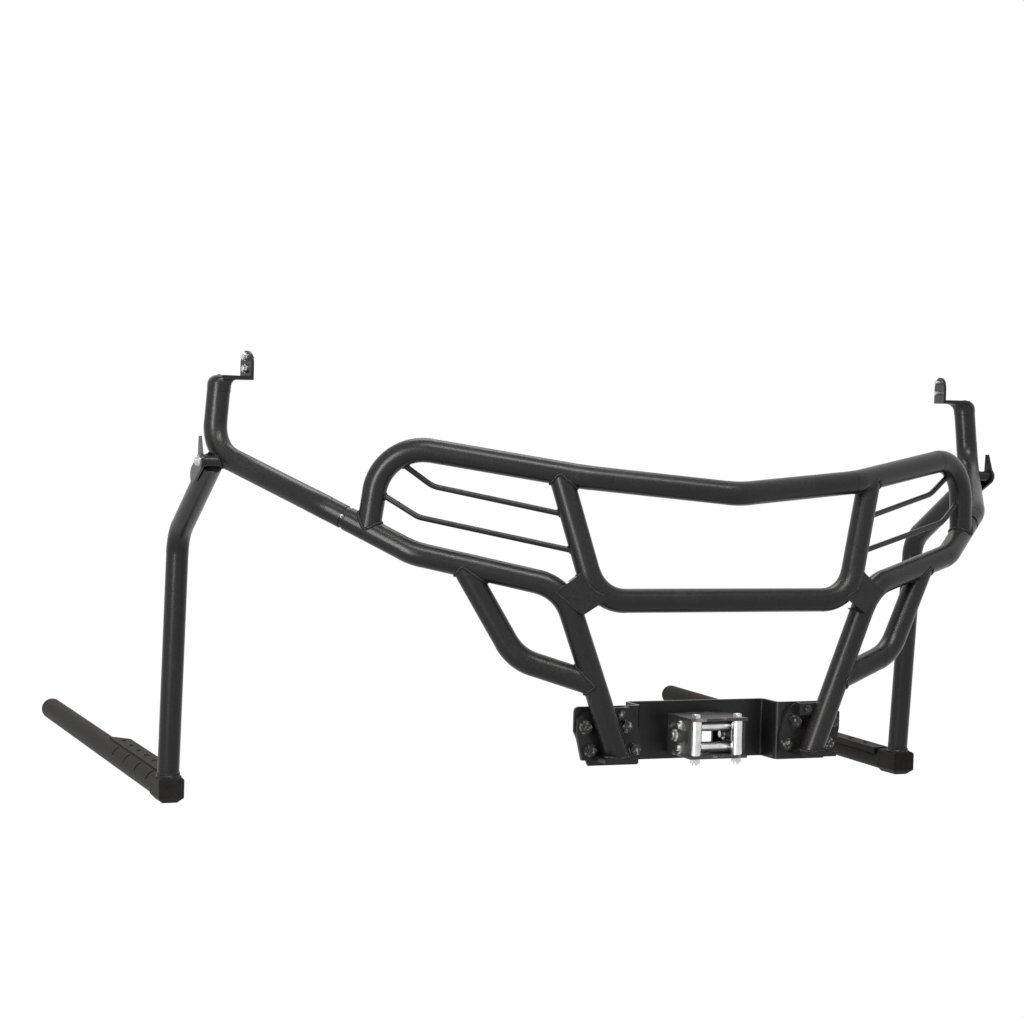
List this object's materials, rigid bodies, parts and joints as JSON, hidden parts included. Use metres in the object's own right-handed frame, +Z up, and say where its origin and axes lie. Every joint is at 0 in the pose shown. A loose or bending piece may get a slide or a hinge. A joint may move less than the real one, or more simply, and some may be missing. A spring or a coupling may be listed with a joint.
{
  "type": "vehicle front bumper",
  "caption": "Tubular bumper for a small utility vehicle, with lamp guard rods, winch plate, roller fairlead, side rails, rear posts and side steps.",
  "frame": {"origin": "middle of the winch plate, in the plane of the flat rear faces of its two outer panels, where they bolt to the chassis", "axes": "-Y is the front of the vehicle, +X is the side on the right of the picture, +Z is up; left and right in names are as seen in the picture"},
  "size_m": [1.7134, 1.9051, 0.8682],
  "materials": {
    "black_coat": "satin black powder coat",
    "textured_black": "textured black powder coat, dusty",
    "fairlead_black": "worn black plate",
    "roller_steel": "bright turned steel",
    "zinc_fasteners": "bright zinc plated"
  },
  "bodies": {
    "frame": {"upper_hoop": "black_coat", "centre_hoop": "black_coat", "side_tube_left": "black_coat", "side_tube_right": "black_coat", "brace_left": "black_coat", "brace_right": "black_coat", "guard_rod_upper_left": "black_coat", "guard_rod_upper_right": "black_coat", "guard_rod_lower_left": "black_coat", "guard_rod_lower_right": "black_coat", "gusset_left": "black_coat", "gusset_right": "black_coat", "winch_plate": "black_coat", "foot_bracket_left": "black_coat", "foot_bracket_right": "black_coat", "top_clip_left": "black_coat", "top_clip_right": "black_coat", "mount_bolts": "zinc_fasteners", "clip_bolts": "zinc_fasteners", "fairlead_body": "fairlead_black", "fairlead_tab_left": "black_coat", "fairlead_tab_right": "black_coat", "fairlead_bolts": "zinc_fasteners", "roller_pins": "zinc_fasteners", "coupling_left": "black_coat", "coupling_right": "black_coat", "coupling_bolts": "zinc_fasteners", "side_rail_left": "black_coat", "side_rail_right": "black_coat", "rail_tab_left": "black_coat", "rail_tab_right": "black_coat", "tab_bolts": "zinc_fasteners", "rail_boss_left": "black_coat", "rail_boss_right": "black_coat", "post_left": "black_coat", "post_right": "black_coat", "post_ear_left": "black_coat", "post_ear_right": "black_coat", "post_bolts": "zinc_fasteners", "post_collar_left": "black_coat", "post_collar_right": "black_coat", "step_tube_left": "textured_black", "step_tube_right": "textured_black", "step_box_left": "textured_black", "step_box_right": "textured_black", "tread_left": "textured_black", "tread_right": "textured_black", "step_cap_left": "textured_black", "step_cap_right": "textured_black"},
    "roller_left": {"roller_left": "roller_steel"},
    "roller_right": {"roller_right": "roller_steel"},
    "roller_top": {"roller_top": "roller_steel"},
    "roller_bottom": {"roller_bottom": "roller_steel"}
  },
  "joints": [
    {"name": "roller_left_spin", "type": "hinge", "parent": "frame", "child": "roller_left", "pos_m": [-0.0415, -0.034, -0.008], "axis": [0, 0, 1], "continuous": true},
    {"name": "roller_right_spin", "type": "hinge", "parent": "frame", "child": "roller_right", "pos_m": [0.0415, -0.034, -0.008], "axis": [0, 0, 1], "continuous": true},
    {"name": "roller_top_spin", "type": "hinge", "parent": "frame", "child": "roller_top", "pos_m": [0, -0.0125, 0.0115], "axis": [1, 0, 0], "continuous": true},
    {"name": "roller_bottom_spin", "type": "hinge", "parent": "frame", "child": "roller_bottom", "pos_m": [0, -0.0125, -0.0275], "axis": [1, 0, 0], "continuous": true}
  ]
}
